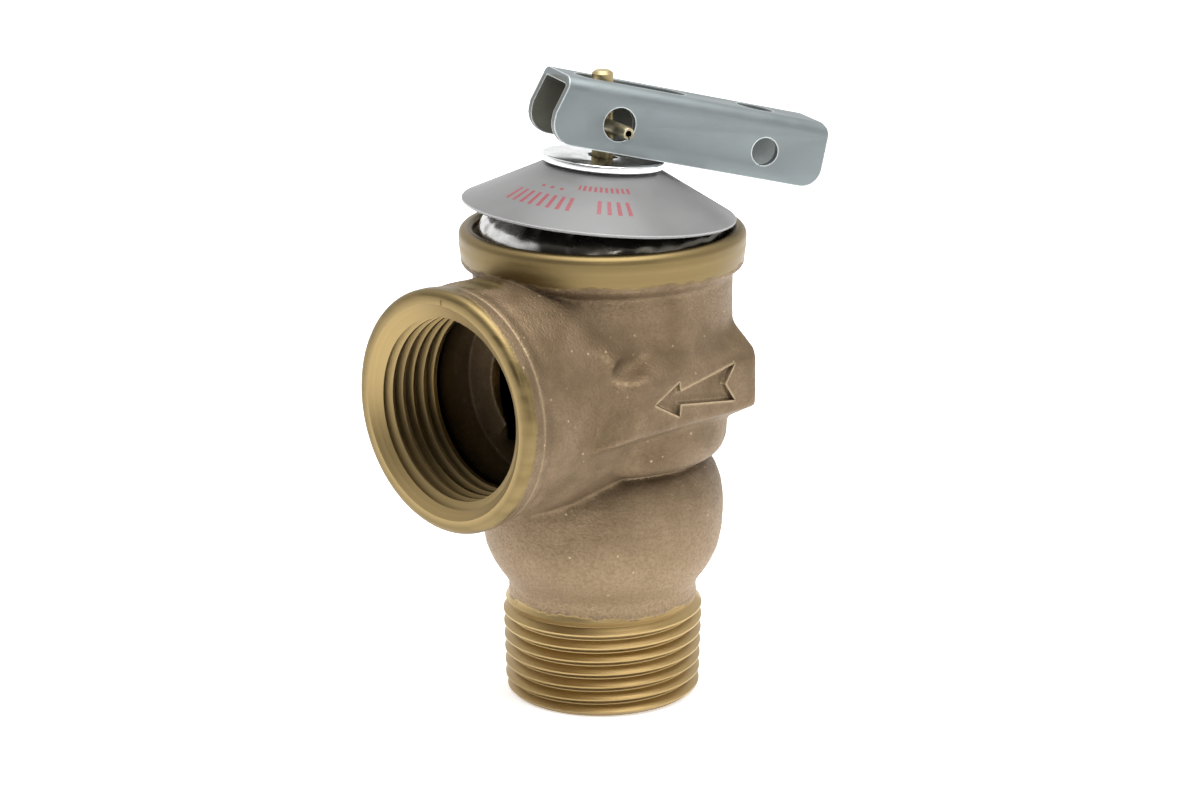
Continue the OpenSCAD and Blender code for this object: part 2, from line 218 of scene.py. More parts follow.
# Soft corners: fillets where the pattern's shapes meet, then the unevenness of a sand mould
grain_size = 0.36
fillet_passes = 18
sharp_passes = 4
sharp_below = 43.5
worked(casting, "REMESH", mode="VOXEL", voxel_size=grain_size)
skin = bmesh.new()
skin.from_mesh(casting.data)
upper = [v for v in skin.verts if v.co.z > sharp_below]
for step in range(fillet_passes):
    reached = skin.verts if step < sharp_passes else upper
    bmesh.ops.smooth_vert(skin, verts=reached, factor=0.5, use_axis_x=True, use_axis_y=True, use_axis_z=True)
skin.normal_update()
wave_len = 5.0
ripple_len = 1.6
wave_high = 0.07
ripple_high = 0.035
flat_high = 0.02
for v in skin.verts:
    swell = noise.noise(v.co / wave_len) * wave_high + noise.noise(v.co / ripple_len) * ripple_high
    v.co += v.normal * min(swell, flat_high if abs(v.co.x) > flat_x - 0.3 else 1.0)
arrow = [(5.1, 47.7), (3.2, 45.3), (5.1, 42.8), (-5.1, 44.3), (-5.3, 42.7), (-9.7, 45.1), (-5.3, 47.2),
         (-5.1, 46.0)]
skin.to_mesh(casting.data)
skin.free()
for side in (1, -1):
    sunk = bmesh.new()
    face = sunk.faces.new([sunk.verts.new((side * (flat_x - 0.35), y, z)) for y, z in arrow])
    pulled = bmesh.ops.extrude_face_region(sunk, geom=[face])["geom"]
    drawn = [v for v in pulled if isinstance(v, bmesh.types.BMVert)]
    bmesh.ops.translate(sunk, verts=drawn, vec=(side * 3, 0, 0))
    floor = min(sunk.faces, key=lambda f: abs(f.calc_center_median().x))
    bmesh.ops.inset_region(sunk, faces=[floor], thickness=0.22, depth=0, use_even_offset=True)
    inside = [f for f in sunk.faces if len(f.verts) == len(arrow) and abs(f.calc_center_median().x) < flat_x]
    floor = max(inside, key=lambda f: f.calc_area() if abs(f.normal.x) > 0.9 else 0)
    bmesh.ops.translate(sunk, verts=floor.verts[:], vec=(-side * 0.3, 0, 0))
    bmesh.ops.recalc_face_normals(sunk, faces=sunk.faces)
    combined(casting, "DIFFERENCE", sunk)

# Turned rim, outlet ring and inlet blank, with the male thread
rim_r = 18.85
crown_r = 1.2
rim = turned([(0, 57.6), (16.9, 57.6)] + arc(18.0, 57.6, 0.9, 180, 120, 4) + [
    (18.4, 59.05), (18.55, 59.3), (18.65, 60.2), (rim_r, 61.8)]
    + arc(rim_r - crown_r, rim_top - crown_r, crown_r, 0, 90, 8) + [(0, rim_top)], segments=224)
edge_r = 1.0
outlet_ring = towards_outlet(turned([(0, outlet_face - 6), (13, outlet_face - 6), (15.0, outlet_face - 3.4),
    (15.8, outlet_face - 2.8), (outlet_r, outlet_face - 2.0)]
    + arc(outlet_r - edge_r, outlet_face - edge_r, edge_r, 0, 90, 8) + [(0, outlet_face)], segments=224))
inlet_crest = 13.02
inlet_root = inlet_crest - 0.56 * thread_pitch
inlet_len = 14.6
neck_r = 12.65
run_out = 12.0
fade_len = 2.1
inlet_thread = screw_thread(inlet_root, inlet_crest, inlet_len, pipe_taper)
for v in inlet_thread.verts:
    r = math.hypot(v.co.x, v.co.y)
    if v.co.z > run_out and r > 1:
        depth = max(0.0, 1 - (v.co.z - run_out) / fade_len)
        v.co.xy *= (neck_r - 0.15 + (r - neck_r + 0.15) * depth) / r
combined(casting, "UNION", rim, outlet_ring, inlet_thread)
lead_in = turned([
    (inlet_root + 0.35, -1), (20, -1), (20, 1.6), (inlet_crest + 0.6, 1.3), (inlet_root + 0.35, 0)])
combined(casting, "DIFFERENCE", lead_in)

# Waterways: inlet bore, seat, chamber, diaphragm recess with its rolled lip, and the tapped outlet
inlet_bore = 9.5
seat_r = 8.0
chamber_r = 13.8
recess_r = 17.6
lip_r = 16.95
flange_top = ledge_z + 2.85
lip_edge = 0.75
waterway = turned([
    (0, -1), (inlet_bore + 0.5, -1), (inlet_bore + 0.5, 0), (inlet_bore, 0.5), (inlet_bore, 28),
    (seat_r, 30), (seat_r, seat_z - 0.2), (seat_r + 0.2, seat_z), (8.8, seat_z), (10.2, 36.5),
    (chamber_r, 36.5), (chamber_r, ledge_z), (recess_r, ledge_z), (recess_r, flange_top), (lip_r, flange_top)]
    + arc(lip_r + lip_edge, rim_top - lip_edge, lip_edge, 180, 90, 6)
    + [(lip_r + lip_edge, 66), (0, 66)], segments=192)
tap_drill_r = 11.9
outlet_bore = towards_outlet(turned([(0, 6), (7.6, 6), (7.6, 13), (tap_drill_r, 13), (tap_drill_r, 27.4),
    (13.7, outlet_face - 0.3), (14.05, outlet_face), (14.05, 33), (0, 33)], segments=192))
thread_start = 18.2
tap = screw_thread(11.4, 12.86, outlet_face - thread_start, pipe_taper)
bmesh.ops.translate(tap, verts=tap.verts, vec=(0, 0, thread_start))
combined(casting, "DIFFERENCE", waterway, outlet_bore, towards_outlet(tap))


def node(tree, kind, inputs=None, **settings):
    """Adds a shader node. An input is a plain value or another node's output."""
    made = tree.nodes.new(kind)
    for setting, value in settings.items():
        setattr(made, setting, value)
    for socket, value in (inputs or {}).items():
        if isinstance(value, bpy.types.NodeSocket):
            tree.links.new(value, made.inputs[socket])
        else:
            made.inputs[socket].default_value = value
    return made


def maths(tree, operation, *values):
    return node(tree, "ShaderNodeMath", dict(enumerate(values)), operation=operation).outputs[0]


def mixed(tree, share, low, high):
    """One colour laid over another by a mask."""
    made = node(tree, "ShaderNodeMix", {0: share, 6: low, 7: high}, data_type="RGBA")
    return made.outputs[2]


def stepped(tree, value, low, high, to_low=0.0, to_high=1.0):
    """Takes a value smoothly from one level to another between two limits."""
    made = node(tree, "ShaderNodeMapRange", {"Value": value, "From Min": low, "From Max": high,
        "To Min": to_low, "To Max": to_high}, interpolation_type="SMOOTHSTEP")
    return made.outputs[0]


def new_group(name, inputs, outputs):
    """An empty shader group with named inputs and outputs."""
    group = bpy.data.node_groups.new(name, "ShaderNodeTree")
    for socket, kind, value in inputs:
        made = group.interface.new_socket(socket, in_out="INPUT", socket_type=kind)
        if value is not None:
            made.default_value = value
    for socket in outputs:
        group.interface.new_socket(socket, in_out="OUTPUT", socket_type="NodeSocketFloat")
    return group, group.nodes.new("NodeGroupInput").outputs, group.nodes.new("NodeGroupOutput").inputs


# Grain of a metal surface: fine pits, slow blotches and rare flecks, which the metals paint light as glints
surface_grain, given, out = new_group("surface_grain", [("Vector", "NodeSocketVector", None),
    ("Grain", "NodeSocketFloat", 2600.0), ("Blotch", "NodeSocketFloat", 170.0)],
    ["Height", "Blotches", "Glint_flecks"])
fine = node(surface_grain, "ShaderNodeTexNoise", {"Vector": given["Vector"], "Scale": given["Grain"],
    "Detail": 3.0, "Roughness": 0.65})
patches = node(surface_grain, "ShaderNodeTexNoise", {"Vector": given["Vector"], "Scale": given["Blotch"],
    "Detail": 5.0, "Roughness": 0.6})
fleck_size = maths(surface_grain, "MULTIPLY", given["Grain"], 0.8)
cells = node(surface_grain, "ShaderNodeTexVoronoi", {"Vector": given["Vector"], "Scale": fleck_size})
surface_grain.links.new(fine.outputs["Fac"], out["Height"])
surface_grain.links.new(stepped(surface_grain, patches.outputs["Fac"], 0.32, 0.68), out["Blotches"])
fleck = node(surface_grain, "ShaderNodeSeparateColor", {"Color": cells.outputs["Color"]}).outputs["Red"]
fleck_near = stepped(surface_grain, cells.outputs["Distance"], 0.45, 0.15)
surface_grain.links.new(maths(surface_grain, "MULTIPLY", stepped(surface_grain, fleck, 0.985, 0.995),
    fleck_near),
                        out["Glint_flecks"])

# Marks of a lathe tool: rings about the local Z axis, on faces and round walls alike
tool_marks, given, out = new_group("tool_marks", [("Vector", "NodeSocketVector", None),
    ("Spacing", "NodeSocketFloat", 5000.0)], ["Height", "Streaks"])
parts = node(tool_marks, "ShaderNodeSeparateXYZ", {"Vector": given["Vector"]}).outputs
around = maths(tool_marks, "SQRT", maths(tool_marks, "ADD",
    maths(tool_marks, "MULTIPLY", parts["X"], parts["X"]),
    maths(tool_marks, "MULTIPLY", parts["Y"], parts["Y"])))
section = node(tool_marks, "ShaderNodeCombineXYZ", {"X": around, "Y": parts["Z"]}).outputs["Vector"]
rings = node(tool_marks, "ShaderNodeTexNoise", {"Vector": section, "Scale": given["Spacing"], "Detail": 2.0})
wide = node(tool_marks, "ShaderNodeTexNoise", {"Vector": section, "Scale": maths(tool_marks, "MULTIPLY",
    given["Spacing"], 0.14), "Detail": 2.0})
tool_marks.links.new(rings.outputs["Fac"], out["Height"])
tool_marks.links.new(stepped(tool_marks, wide.outputs["Fac"], 0.3, 0.7), out["Streaks"])

# Darkening in corners and creases, painted shade with some grime, and metal lightened along edges, wear with
# some painted highlight
wear_grime_and_painted_light, given, out = new_group("wear_grime_and_painted_light", [("Reach", "NodeSocketFloat", 0.003),
    ("Edge", "NodeSocketFloat", 0.0003)], ["Grime", "Wear_and_sheen"])
hollow = node(wear_grime_and_painted_light, "ShaderNodeAmbientOcclusion", {"Distance": given["Reach"]}, samples=8,
              only_local=True)
# Ambient occlusion gives the corner mask: painted shade, partly grime
wear_grime_and_painted_light.links.new(stepped(wear_grime_and_painted_light, hollow.outputs["AO"], 0.95, 0.35), out["Grime"])
rounded = node(wear_grime_and_painted_light, "ShaderNodeBevel", {"Radius": given["Edge"]}, samples=6)
facing = node(wear_grime_and_painted_light, "ShaderNodeNewGeometry").outputs["Normal"]
turn = node(wear_grime_and_painted_light, "ShaderNodeVectorMath", {0: rounded.outputs["Normal"], 1: facing},
            operation="DOT_PRODUCT").outputs["Value"]
# Bevelled normals give the edge mask: wear, partly painted highlight
wear_grime_and_painted_light.links.new(stepped(wear_grime_and_painted_light, turn, 0.995, 0.9), out["Wear_and_sheen"])


def new_material(name, metallic=1.0):
    material = bpy.data.materials.new(name)
    material.use_nodes = True
    shader = material.node_tree.nodes["Principled BSDF"]
    shader.inputs["Metallic"].default_value = metallic
    return material, material.node_tree, shader.inputs


def placed(tree, turn=(0, 0, 0), centre=(0, 0, 0)):
    """Object coordinates, centred and turned for a pattern."""
    place = node(tree, "ShaderNodeTexCoord").outputs["Object"]
    mapping = node(tree, "ShaderNodeMapping", {"Vector": place, "Location": [-c for c in centre]},
        vector_type="POINT")
    return node(tree, "ShaderNodeMapping", {"Vector": mapping.outputs[0], "Rotation": turn}).outputs[0]


def effect(tree, group, inputs):
    """Places a shared effect in a material and gives its outputs."""
    made = node(tree, "ShaderNodeGroup", node_tree=group)
    for socket, value in inputs.items():
        if isinstance(value, bpy.types.NodeSocket):
            tree.links.new(value, made.inputs[socket])
        else:
            made.inputs[socket].default_value = value
    return made.outputs


def bumped(tree, shader, height, distance, strength=1.0):
    bump = node(tree, "ShaderNodeBump", {"Height": height, "Distance": distance, "Strength": strength})
    tree.links.new(bump.outputs["Normal"], shader["Normal"])


def cast_bronze():
    """Tumbled bronze skin where the mould left it, and bright turned bronze where the tool has been."""
    material, tree, shader = new_material("cast_bronze")
    place = placed(tree)
    grain = effect(tree, surface_grain, {"Vector": place, "Grain": 2400.0, "Blotch": 150.0})
    edges_and_corners = effect(tree, wear_grime_and_painted_light, {"Reach": 0.006, "Edge": 0.0007})
    upright = effect(tree, tool_marks, {"Vector": place, "Spacing": 4200.0})
    across = placed(tree, turn=(math.pi / 2, 0, 0), centre=(0, 0, outlet_z * METRE))
    sideways = effect(tree, tool_marks, {"Vector": across, "Spacing": 4200.0})
    outlet = node(tree, "ShaderNodeAttribute", attribute_name="outlet").outputs["Fac"]
    shaded_bore = node(tree, "ShaderNodeAttribute", attribute_name="shaded_bore").outputs["Fac"]
    at = node(tree, "ShaderNodeSeparateXYZ", {"Vector": place}).outputs
    ragged = maths(tree, "MULTIPLY", maths(tree, "SUBTRACT", grain["Blotches"], 0.5), 0.0007)
    ragged = maths(tree, "ADD", ragged, maths(tree, "MULTIPLY", grain["Height"], 0.0003))
    rim_side = stepped(tree, maths(tree, "ADD", at["Z"], ragged), 0.0598, 0.0602)
    mouth_side = stepped(tree, maths(tree, "ADD", at["Y"], ragged), -0.0274, -0.0278)
    thread_side = stepped(tree, maths(tree, "ADD", at["Z"], ragged), 0.0140, 0.0136)
    bright = maths(tree, "MAXIMUM", maths(tree, "MAXIMUM", rim_side, mouth_side), thread_side)
    bright = maths(tree, "MAXIMUM", bright, maths(tree, "MAXIMUM", outlet, shaded_bore))
    skin = mixed(tree, grain["Blotches"], (0.138, 0.095, 0.053, 1), (0.211, 0.150, 0.091, 1))
    # The skin is painted lighter towards the bottom: painted light bounced up from the floor
    painted_floor_light = stepped(tree, at["Z"], 0.034, 0.014)
    skin = mixed(tree, maths(tree, "MULTIPLY", painted_floor_light, 0.8), skin, (0.330, 0.240, 0.148, 1))
    speckle = stepped(tree, grain["Height"], 0.38, 0.66, 0.0, 0.24)
    skin = mixed(tree, speckle, skin, (0.135, 0.088, 0.046, 1))
    # Edges painted lighter: partly wear, partly painted highlight along the pad and drum edges
    skin = mixed(tree, maths(tree, "MULTIPLY", edges_and_corners["Wear_and_sheen"], 0.55), skin, (0.60, 0.47, 0.30, 1))
    # Corners, creases and hollows painted darker: painted shade, partly grime
    skin = mixed(tree, maths(tree, "MULTIPLY", edges_and_corners["Grime"], 0.45), skin, (0.075, 0.050, 0.025, 1))
    # Rare bright flecks: painted glints
    skin = mixed(tree, maths(tree, "MULTIPLY", grain["Glint_flecks"], 0.45), skin, (0.70, 0.56, 0.36, 1))
    streaks = node(tree, "ShaderNodeMix", {0: outlet, 2: upright["Streaks"],
        3: sideways["Streaks"]}).outputs[0]
    cut = mixed(tree, streaks, (0.150, 0.108, 0.046, 1), (0.210, 0.154, 0.069, 1))
    # The threads and outlet mouth get a lighter copy of the turned bronze than the rim and ring: painted
    # light
    lit_threads = mixed(tree, streaks, (0.34, 0.240, 0.104, 1), (0.45, 0.330, 0.155, 1))
    # Thread roots painted darker: painted shade
    lit_threads = mixed(tree, maths(tree, "MULTIPLY", edges_and_corners["Grime"], 0.45), lit_threads, (0.20, 0.135, 0.062, 1))
    cut = mixed(tree, maths(tree, "MAXIMUM", thread_side, maths(tree, "MULTIPLY", outlet, 0.5)), cut,
        lit_threads)
    # Inside the waterways the bronze is painted near-black: painted shade
    cut = mixed(tree, shaded_bore, cut, (0.015, 0.011, 0.006, 1))
    tree.links.new(mixed(tree, bright, skin, cut), shader["Base Color"])
    rough_skin = stepped(tree, grain["Height"], 0.25, 0.75, 0.50, 0.68)
    rough_cut = stepped(tree, streaks, 0.0, 1.0, 0.38, 0.50)
    tree.links.new(node(tree, "ShaderNodeMix", {0: bright, 2: rough_skin, 3: rough_cut}).outputs[0],
                   shader["Roughness"])
    rings = node(tree, "ShaderNodeMix", {0: outlet, 2: upright["Height"], 3: sideways["Height"]}).outputs[0]
    rings = maths(tree, "MULTIPLY", rings, 0.10)
    tree.links.new(stepped(tree, bright, 0.0, 1.0, 0.82, 1.0), shader["Metallic"])
    bumped(tree, shader, node(tree, "ShaderNodeMix", {0: bright, 2: grain["Height"], 3: rings}).outputs[0],
        0.00015)
    return material


def mark_machined(piece):
    """Notes on the mesh what was turned about the outlet, and the inner waterways, which are painted
    near-black as shade.
    """
    shaded_bore = piece.data.attributes.new("shaded_bore", "FLOAT", "POINT")
    outlet = piece.data.attributes.new("outlet", "FLOAT", "POINT")
    for v in piece.data.vertices:
        x, y, z = v.co / METRE
        axis_r = math.hypot(x, y)
        outlet_axis_r = math.hypot(x, z - outlet_z)
        in_outlet = y < -13 and outlet_axis_r < 14.2
        in_bore = axis_r < inlet_bore + 0.1 or z > seat_z - 3.1 and axis_r < chamber_r + 0.1
        shaded_bore.data[v.index].value = float(in_bore and z < ledge_z or in_outlet and y > -thread_start - 0.3)
        outlet.data[v.index].value = float(in_outlet)


body = finished(casting, "body_casting", "housing", "cast_bronze", cast_bronze(), sharp=38,
    stands_for=["valve_body"])
mark_machined(body)

# Pieces turned from brass rod: disc holder, disc screw and washer, diaphragm washer, nut and bush.
# They come off a lathe bright, with fine rings, and are screwed or pushed together inside the body.


def turned_brass(name, low=(0.50, 0.37, 0.17), high=(0.64, 0.49, 0.25), dull=0.0, reach=0.002):
    material, tree, shader = new_material(name)
    marks = effect(tree, tool_marks, {"Vector": placed(tree), "Spacing": 5200.0})
    grain = effect(tree, surface_grain, {"Vector": placed(tree), "Grain": 3000.0, "Blotch": 300.0})
    edges_and_corners = effect(tree, wear_grime_and_painted_light, {"Reach": reach, "Edge": 0.0002})
    metal = mixed(tree, marks["Streaks"], (*low, 1), (*high, 1))
    metal = mixed(tree, maths(tree, "MULTIPLY", grain["Blotches"], 0.35), metal, (0.30, 0.21, 0.09, 1))
    # Corners painted darker: painted shade, partly grime
    metal = mixed(tree, maths(tree, "MULTIPLY", edges_and_corners["Grime"], 0.7), metal, (0.12, 0.08, 0.03, 1))
    metal = mixed(tree, maths(tree, "MULTIPLY", edges_and_corners["Wear_and_sheen"], 0.6), metal, (0.85, 0.72, 0.45, 1))
    tree.links.new(metal, shader["Base Color"])
    tree.links.new(stepped(tree, grain["Blotches"], 0, 1, 0.26 + dull, 0.40 + dull), shader["Roughness"])
    bumped(tree, shader, marks["Height"], 0.00001)
    return material


brass = turned_brass("turned_brass")
nodes = frame["nodes"]


def given_finish(material, *names):
    """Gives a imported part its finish."""
    for name in names:
        nodes[name].data.materials.clear()
        nodes[name].data.materials.append(material)


given_finish(brass, "disc_holder", "disc_washer", "disc_screw", "diaphragm_washer", "plate_nut", "stem_bush")


# Seat disc and diaphragm: moulded black rubber, matt, with a faint bloom. The disc is pushed into its
# holder, and the diaphragm is clamped between the body's ledge and the bonnet's flange.
def moulded_rubber():
    material, tree, shader = new_material("moulded_rubber", metallic=0.0)
    grain = effect(tree, surface_grain, {"Vector": placed(tree), "Grain": 3500.0, "Blotch": 260.0})
    tree.links.new(mixed(tree, grain["Blotches"], (0.012, 0.011, 0.010, 1), (0.035, 0.033, 0.030, 1)),
                   shader["Base Color"])
    tree.links.new(stepped(tree, grain["Height"], 0.2, 0.8, 0.62, 0.82), shader["Roughness"])
    bumped(tree, shader, grain["Height"], 0.00004)
    return material


given_finish(moulded_rubber(), "seat_disc", "diaphragm")


# Pressed steel pieces round the spring: clamp ring, spring plate, upper seat and the two clips.
# They are stamped from strip and plated, so their faces are smooth with light scuffs.
def plated_strip():
    material, tree, shader = new_material("plated_strip")
    grain = effect(tree, surface_grain, {"Vector": placed(tree), "Grain": 1800.0, "Blotch": 220.0})
    edges_and_corners = effect(tree, wear_grime_and_painted_light, {"Reach": 0.002, "Edge": 0.0002})
    metal = mixed(tree, grain["Blotches"], (0.42, 0.42, 0.41, 1), (0.60, 0.60, 0.59, 1))
    # Corners painted darker: painted shade, partly grime
    metal = mixed(tree, maths(tree, "MULTIPLY", edges_and_corners["Grime"], 0.6), metal, (0.10, 0.09, 0.08, 1))
    tree.links.new(metal, shader["Base Color"])
    tree.links.new(stepped(tree, grain["Blotches"], 0, 1, 0.22, 0.38), shader["Roughness"])
    bumped(tree, shader, grain["Height"], 0.00002)
    return material


given_finish(plated_strip(), "clamp_ring", "spring_plate", "upper_spring_seat", "bush_clip", "stem_clip")

# Main spring: round spring wire coiled into a cone on a mandrel, its end turns closed, left black
# and oiled. It stands on the spring plate and pushes up against the seat under the bonnet's top.
wire_r = 0.65
foot_r = 9.4
head_r = 5.6
spring_low, spring_high = (corner.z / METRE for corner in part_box("main_spring"))
coils = 2.75
coil = bpy.data.curves.new("coil", "CURVE")
coil.dimensions = "3D"
coil.bevel_depth = wire_r
coil.bevel_resolution = 5
coil.use_fill_caps = True
line = coil.splines.new("POLY")
steps = 198
line.points.add(steps)
for i in range(steps + 1):
    t = i / steps
    r = foot_r + (head_r - foot_r) * t
    climb = t - math.sin(full_turn * t) / 16
    z = spring_low + wire_r + (spring_high - spring_low - 2 * wire_r) * climb
    line.points[i].co = (r * math.cos(coils * full_turn * t), r * math.sin(coils * full_turn * t), z, 1)
wound = bpy.data.objects.new("wound", coil)
bpy.context.scene.collection.objects.link(wound)
seen = wound.evaluated_get(bpy.context.evaluated_depsgraph_get())
wire = bmesh.new()
wire.from_mesh(bpy.data.meshes.new_from_object(seen))
bmesh.ops.remove_doubles(wire, verts=wire.verts, dist=1e-4)
bmesh.ops.recalc_face_normals(wire, faces=wire.faces)
bpy.data.objects.remove(wound)


def oiled_spring_steel():
    material, tree, shader = new_material("oiled_spring_steel")
    grain = effect(tree, surface_grain, {"Vector": placed(tree), "Grain": 2500.0, "Blotch": 400.0})
    tree.links.new(mixed(tree, grain["Blotches"], (0.055, 0.052, 0.047, 1), (0.16, 0.155, 0.145, 1)),
                   shader["Base Color"])
    tree.links.new(stepped(tree, grain["Blotches"], 0, 1, 0.25, 0.45), shader["Roughness"])
    bumped(tree, shader, grain["Height"], 0.00001)
    return material


spring_steel = oiled_spring_steel()
finished(shaped(wire), "conical_spring", "housing", "spring_steel", spring_steel, sharp=50,
    stands_for=["main_spring"])

# Spring bonnet: drawn from steel sheet and bright plated, so it mirrors the rim and the nameplate in
# slightly wavy reflections. Its flange lies on the clamp ring and the body's lip is rolled over it.
sheet_t = 1.2
bonnet_r = 16.3
shoulder_r = 3.0
shoulder_z = 63.0
roof_r = 7.0
roof_slope = 30
bonnet_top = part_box("spring_bonnet")[1].z / METRE
flange_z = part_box("spring_bonnet")[0].z / METRE
roof_inner_r = roof_r - sheet_t * math.tan(math.radians(roof_slope / 2))
hole_r = 3.45
bonnet = turned([(bonnet_r - sheet_t, flange_z), (17.5, flange_z), (17.5, flange_z + sheet_t)]
    + arc(bonnet_r + 0.5, flange_z + sheet_t + 0.5, 0.5, -90, -180, 4)
    + arc(bonnet_r - shoulder_r, shoulder_z, shoulder_r, 6, 90 - roof_slope, 12)
    + arc(roof_r - 1.5 * math.sin(math.radians(30)) + 0.4, bonnet_top - 1.5, 1.5, 60, 90, 4)
    + [(hole_r + 0.15, bonnet_top), (hole_r, bonnet_top - 0.15), (hole_r, bonnet_top - sheet_t),
       (roof_inner_r, bonnet_top - sheet_t)]
    + arc(bonnet_r - shoulder_r, shoulder_z, shoulder_r - sheet_t, 90 - roof_slope, 0, 8), segments=192)


def bright_plate(name, tint=(0.66, 0.66, 0.65), waves=0.00003, rough=0.10, dark_side=0.0):
    """Bright nickel plate: nearly a mirror, with soft waves from drawing and a few fine scuffs."""
    material, tree, shader = new_material(name)
    place = placed(tree)
    grain = effect(tree, surface_grain, {"Vector": place, "Grain": 1500.0, "Blotch": 260.0})
    edges_and_corners = effect(tree, wear_grime_and_painted_light, {"Reach": 0.002, "Edge": 0.0002})
    swell = node(tree, "ShaderNodeTexNoise", {"Vector": place, "Scale": 230.0, "Detail": 1.0}).outputs["Fac"]
    metal = mixed(tree, maths(tree, "MULTIPLY", grain["Blotches"], 0.35), (*tint, 1), (0.45, 0.44, 0.42, 1))
    # Corners painted near-black: painted shade, partly grime
    metal = mixed(tree, maths(tree, "MULTIPLY", edges_and_corners["Grime"], 0.8), metal, (0.05, 0.04, 0.03, 1))
    tree.links.new(metal, shader["Base Color"])
    tree.links.new(stepped(tree, grain["Blotches"], 0, 1, rough, rough + 0.12), shader["Roughness"])
    height = maths(tree, "ADD", swell, maths(tree, "MULTIPLY", grain["Height"], 0.02))
    bumped(tree, shader, height, waves * 10)
    # One side is painted dark with soft wavy edges: painted dark reflection
    if dark_side:
        side = node(tree, "ShaderNodeVectorMath", {0: place, 1: (-45.0, -25.0, 0.0)}, operation="DOT_PRODUCT")
        dark_reflection = maths(tree, "ADD", side.outputs["Value"],
            maths(tree, "MULTIPLY", maths(tree, "SUBTRACT", swell, 0.5), 2.2))
        dark_reflection = stepped(tree, dark_reflection, 0.50, 0.12, 0.0, dark_side)
        tree.links.new(mixed(tree, dark_reflection, metal, (0.060, 0.052, 0.040, 1)), shader["Base Color"])
    return material


# The bonnet's plate is painted dark on one side: painted dark reflection
finished(shaped(bonnet), "bright_bonnet", "housing", "plated_steel",
    bright_plate("bright_bonnet_plate", waves=0.00008, rough=0.20, dark_side=0.95),
         stands_for=["spring_bonnet"])

# Nameplate: a loose cone of grey painted sheet under the lever washer, with a plain turned-down edge.
# Red marks are printed round it; here they are a plain scale of strokes and dots with no meaning.
hinge = {joint["name"]: joint for joint in frame["joints"]}["lever_lift"]
lever_axis = Vector(hinge["axis"])
lever_turn = math.atan2(lever_axis.x, -lever_axis.y)
rock = {joint["name"]: joint for joint in frame["joints"]}["cap_rock"]
rock_z = rock["pos_m"][2] / METRE
tip = math.radians(5.2)
tipped = (Matrix.Rotation(lever_turn, 4, "Z") @ Matrix.Translation((0, 0, rock_z))
          @ Matrix.Rotation(tip, 4, "Y") @ Matrix.Translation((0, 0, -rock_z)))
plate_top = 72.05
plate_edge_z = 66.3
plate_r = 18.0
plate_flat_r = 7.0
paint_t = 0.5
slope = math.atan2(plate_top - plate_edge_z, plate_r - plate_flat_r)
lean_r = paint_t * math.sin(slope)
lean_z = paint_t * math.cos(slope)
plate = turned([(2.2, plate_top - 0.06), (2.26, plate_top), (plate_flat_r - 0.3, plate_top),
    (plate_flat_r + 0.3, plate_top - 0.16), (plate_r - 0.12, plate_edge_z + 0.063),
    (plate_r, plate_edge_z - 0.1),
    (plate_r - 0.05, plate_edge_z - 0.3), (plate_r - lean_r - 0.05, plate_edge_z - lean_z),
    (plate_r - lean_r - 0.3, plate_edge_z - lean_z + 0.1),
    (plate_flat_r - paint_t * math.tan(slope / 2), plate_top - paint_t), (2.2, plate_top - paint_t)],
    segments=256)
bmesh.ops.transform(plate, matrix=tipped, verts=plate.verts)


